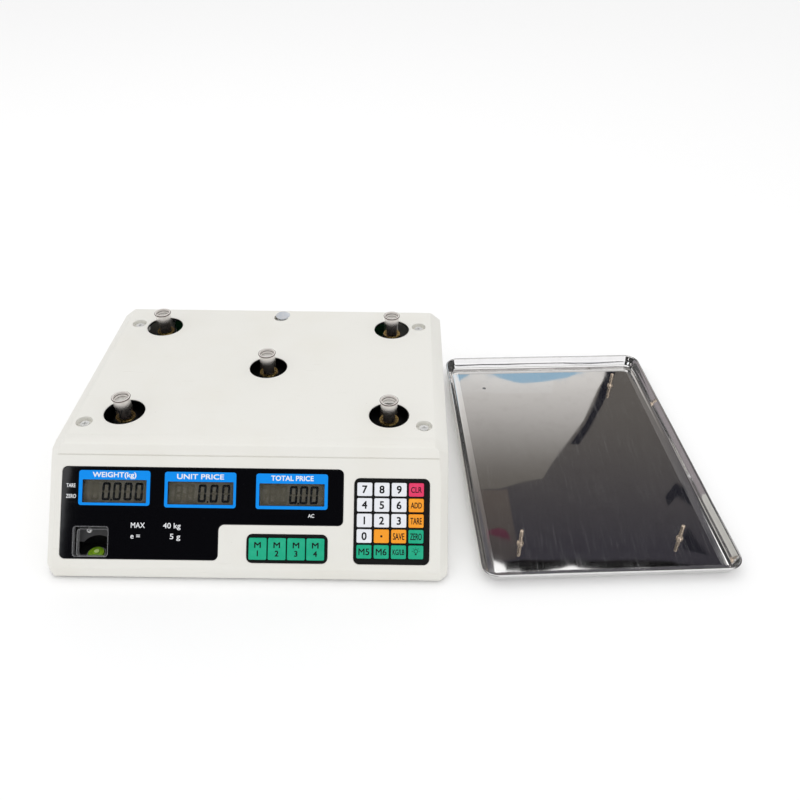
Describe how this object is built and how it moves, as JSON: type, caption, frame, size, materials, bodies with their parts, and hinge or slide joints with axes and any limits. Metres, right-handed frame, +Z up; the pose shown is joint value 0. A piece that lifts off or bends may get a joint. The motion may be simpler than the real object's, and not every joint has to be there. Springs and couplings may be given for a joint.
{
  "type": "price computing scale",
  "caption": "Counter scale in an off-white housing with a sloped display and keypad panel, and its polished pan lifted off and laid upside down beside it.",
  "frame": {"origin": "on the table, in the middle of the four levelling feet", "axes": "+X to the operator's right, +Y away from the operator, +Z up"},
  "size_m": [0.6019, 0.344, 0.1115],
  "materials": {
    "housing": "fine satin ABS, off-white",
    "tray": "matt ABS, off-white",
    "sheet_steel": "zinc-plated sheet",
    "alloy": "milled",
    "bolt_steel": "black-oxide steel",
    "carrier_black": "black glass-filled nylon",
    "washer_brass": "turned brass",
    "sleeve_clear": "clear soft plastic",
    "window_black": "polished acrylic, printed black behind",
    "lcd_glass": "grey-olive display glass",
    "board": "green circuit board",
    "frame_black": "black ABS",
    "level_green": "green liquid under clear acrylic",
    "battery_case": "black battery case",
    "transformer": "varnished laminations",
    "inlet_black": "black nylon",
    "rocker_red": "red polycarbonate",
    "foot_rubber": "black rubber on a moulded core",
    "key_white": "satin, white",
    "key_green": "satin, green",
    "key_orange": "satin, orange",
    "key_red": "satin, pink-red",
    "pan_steel": "polished stainless steel",
    "stud_brass": "brass-plated steel"
  },
  "bodies": {
    "base": {"top_cover": "housing", "bottom_cover": "tray", "base_plate": "sheet_steel", "cell_base_block": "alloy", "load_cell": "alloy", "cell_base_bolts": "bolt_steel", "overload_stops": "bolt_steel", "display_window": "window_black", "lcd_weight": "lcd_glass", "lcd_unit_price": "lcd_glass", "lcd_total_price": "lcd_glass", "display_board": "board", "keypad_frame": "frame_black", "memory_frame": "frame_black", "key_board": "board", "level_housing": "frame_black", "level_vial": "level_green", "mainboard": "board", "battery": "battery_case", "transformer": "transformer", "power_inlet": "inlet_black", "rear_window": "window_black", "rear_display": "lcd_glass", "cover_screws": "bolt_steel"},
    "carrier": {"carrier": "carrier_black", "sleeve_washers": "washer_brass", "sleeves": "sleeve_clear", "cell_top_block": "alloy", "carrier_screws": "bolt_steel"},
    "power_rocker": {"power_rocker": "rocker_red"},
    "pan": {"pan": "pan_steel", "pan_studs": "stud_brass"},
    "foot_front_left": {"foot_front_left": "foot_rubber"},
    "foot_front_right": {"foot_front_right": "foot_rubber"},
    "foot_rear_left": {"foot_rear_left": "foot_rubber"},
    "foot_rear_right": {"foot_rear_right": "foot_rubber"},
    "key_7": {"key_7": "key_white"},
    "key_8": {"key_8": "key_white"},
    "key_9": {"key_9": "key_white"},
    "key_clear": {"key_clear": "key_red"},
    "key_4": {"key_4": "key_white"},
    "key_5": {"key_5": "key_white"},
    "key_6": {"key_6": "key_white"},
    "key_add": {"key_add": "key_orange"},
    "key_1": {"key_1": "key_white"},
    "key_2": {"key_2": "key_white"},
    "key_3": {"key_3": "key_white"},
    "key_tare": {"key_tare": "key_orange"},
    "key_0": {"key_0": "key_white"},
    "key_point": {"key_point": "key_orange"},
    "key_save": {"key_save": "key_orange"},
    "key_zero": {"key_zero": "key_green"},
    "key_m5": {"key_m5": "key_green"},
    "key_m6": {"key_m6": "key_green"},
    "key_unit": {"key_unit": "key_green"},
    "key_lamp": {"key_lamp": "key_green"},
    "memory_key_1": {"memory_key_1": "key_green"},
    "memory_key_2": {"memory_key_2": "key_green"},
    "memory_key_3": {"memory_key_3": "key_green"},
    "memory_key_4": {"memory_key_4": "key_green"}
  },
  "joints": [
    {"name": "key_7_press", "type": "slide", "parent": "base", "child": "key_7", "axis": [0, 0.7604, -0.6494], "range_m": [0, 0.0008], "stiffness_N_per_m": 500, "springref_m": -0.0006},
    {"name": "key_8_press", "type": "slide", "parent": "base", "child": "key_8", "axis": [0, 0.7604, -0.6494], "range_m": [0, 0.0008], "stiffness_N_per_m": 500, "springref_m": -0.0006},
    {"name": "key_9_press", "type": "slide", "parent": "base", "child": "key_9", "axis": [0, 0.7604, -0.6494], "range_m": [0, 0.0008], "stiffness_N_per_m": 500, "springref_m": -0.0006},
    {"name": "key_clear_press", "type": "slide", "parent": "base", "child": "key_clear", "axis": [0, 0.7604, -0.6494], "range_m": [0, 0.0008], "stiffness_N_per_m": 500, "springref_m": -0.0006},
    {"name": "key_4_press", "type": "slide", "parent": "base", "child": "key_4", "axis": [0, 0.7604, -0.6494], "range_m": [0, 0.0008], "stiffness_N_per_m": 500, "springref_m": -0.0006},
    {"name": "key_5_press", "type": "slide", "parent": "base", "child": "key_5", "axis": [0, 0.7604, -0.6494], "range_m": [0, 0.0008], "stiffness_N_per_m": 500, "springref_m": -0.0006},
    {"name": "key_6_press", "type": "slide", "parent": "base", "child": "key_6", "axis": [0, 0.7604, -0.6494], "range_m": [0, 0.0008], "stiffness_N_per_m": 500, "springref_m": -0.0006},
    {"name": "key_add_press", "type": "slide", "parent": "base", "child": "key_add", "axis": [0, 0.7604, -0.6494], "range_m": [0, 0.0008], "stiffness_N_per_m": 500, "springref_m": -0.0006},
    {"name": "key_1_press", "type": "slide", "parent": "base", "child": "key_1", "axis": [0, 0.7604, -0.6494], "range_m": [0, 0.0008], "stiffness_N_per_m": 500, "springref_m": -0.0006},
    {"name": "key_2_press", "type": "slide", "parent": "base", "child": "key_2", "axis": [0, 0.7604, -0.6494], "range_m": [0, 0.0008], "stiffness_N_per_m": 500, "springref_m": -0.0006},
    {"name": "key_3_press", "type": "slide", "parent": "base", "child": "key_3", "axis": [0, 0.7604, -0.6494], "range_m": [0, 0.0008], "stiffness_N_per_m": 500, "springref_m": -0.0006},
    {"name": "key_tare_press", "type": "slide", "parent": "base", "child": "key_tare", "axis": [0, 0.7604, -0.6494], "range_m": [0, 0.0008], "stiffness_N_per_m": 500, "springref_m": -0.0006},
    {"name": "key_0_press", "type": "slide", "parent": "base", "child": "key_0", "axis": [0, 0.7604, -0.6494], "range_m": [0, 0.0008], "stiffness_N_per_m": 500, "springref_m": -0.0006},
    {"name": "key_point_press", "type": "slide", "parent": "base", "child": "key_point", "axis": [0, 0.7604, -0.6494], "range_m": [0, 0.0008], "stiffness_N_per_m": 500, "springref_m": -0.0006},
    {"name": "key_save_press", "type": "slide", "parent": "base", "child": "key_save", "axis": [0, 0.7604, -0.6494], "range_m": [0, 0.0008], "stiffness_N_per_m": 500, "springref_m": -0.0006},
    {"name": "key_zero_press", "type": "slide", "parent": "base", "child": "key_zero", "axis": [0, 0.7604, -0.6494], "range_m": [0, 0.0008], "stiffness_N_per_m": 500, "springref_m": -0.0006},
    {"name": "key_m5_press", "type": "slide", "parent": "base", "child": "key_m5", "axis": [0, 0.7604, -0.6494], "range_m": [0, 0.0008], "stiffness_N_per_m": 500, "springref_m": -0.0006},
    {"name": "key_m6_press", "type": "slide", "parent": "base", "child": "key_m6", "axis": [0, 0.7604, -0.6494], "range_m": [0, 0.0008], "stiffness_N_per_m": 500, "springref_m": -0.0006},
    {"name": "key_unit_press", "type": "slide", "parent": "base", "child": "key_unit", "axis": [0, 0.7604, -0.6494], "range_m": [0, 0.0008], "stiffness_N_per_m": 500, "springref_m": -0.0006},
    {"name": "key_lamp_press", "type": "slide", "parent": "base", "child": "key_lamp", "axis": [0, 0.7604, -0.6494], "range_m": [0, 0.0008], "stiffness_N_per_m": 500, "springref_m": -0.0006},
    {"name": "memory_key_1_press", "type": "slide", "parent": "base", "child": "memory_key_1", "axis": [0, 0.7604, -0.6494], "range_m": [0, 0.0008], "stiffness_N_per_m": 500, "springref_m": -0.0006},
    {"name": "memory_key_2_press", "type": "slide", "parent": "base", "child": "memory_key_2", "axis": [0, 0.7604, -0.6494], "range_m": [0, 0.0008], "stiffness_N_per_m": 500, "springref_m": -0.0006},
    {"name": "memory_key_3_press", "type": "slide", "parent": "base", "child": "memory_key_3", "axis": [0, 0.7604, -0.6494], "range_m": [0, 0.0008], "stiffness_N_per_m": 500, "springref_m": -0.0006},
    {"name": "memory_key_4_press", "type": "slide", "parent": "base", "child": "memory_key_4", "axis": [0, 0.7604, -0.6494], "range_m": [0, 0.0008], "stiffness_N_per_m": 500, "springref_m": -0.0006},
    {"name": "foot_front_left_turn", "type": "hinge", "parent": "base", "child": "foot_front_left", "pos_m": [-0.14, -0.1, 0.01], "axis": [0, 0, 1], "continuous": true},
    {"name": "foot_front_right_turn", "type": "hinge", "parent": "base", "child": "foot_front_right", "pos_m": [0.14, -0.1, 0.01], "axis": [0, 0, 1], "continuous": true},
    {"name": "foot_rear_left_turn", "type": "hinge", "parent": "base", "child": "foot_rear_left", "pos_m": [-0.14, 0.1, 0.01], "axis": [0, 0, 1], "continuous": true},
    {"name": "foot_rear_right_turn", "type": "hinge", "parent": "base", "child": "foot_rear_right", "pos_m": [0.14, 0.1, 0.01], "axis": [0, 0, 1], "continuous": true},
    {"name": "rocker_tilt", "type": "hinge", "parent": "base", "child": "power_rocker", "pos_m": [0.124, 0.149, 0.028], "axis": [1, 0, 0], "range_deg": [0, 18]},
    {"name": "carrier_deflection", "type": "slide", "parent": "base", "child": "carrier", "axis": [0, 0, -1], "range_m": [0, 0.0006], "stiffness_N_per_m": 650000, "springref_m": -0.00004, "deforming": ["load_cell"]},
    {"name": "pan_lift", "type": "slide", "parent": "base", "child": "pan", "axis": [0, 0, 1], "range_m": [0, 0.15]}
  ]
}
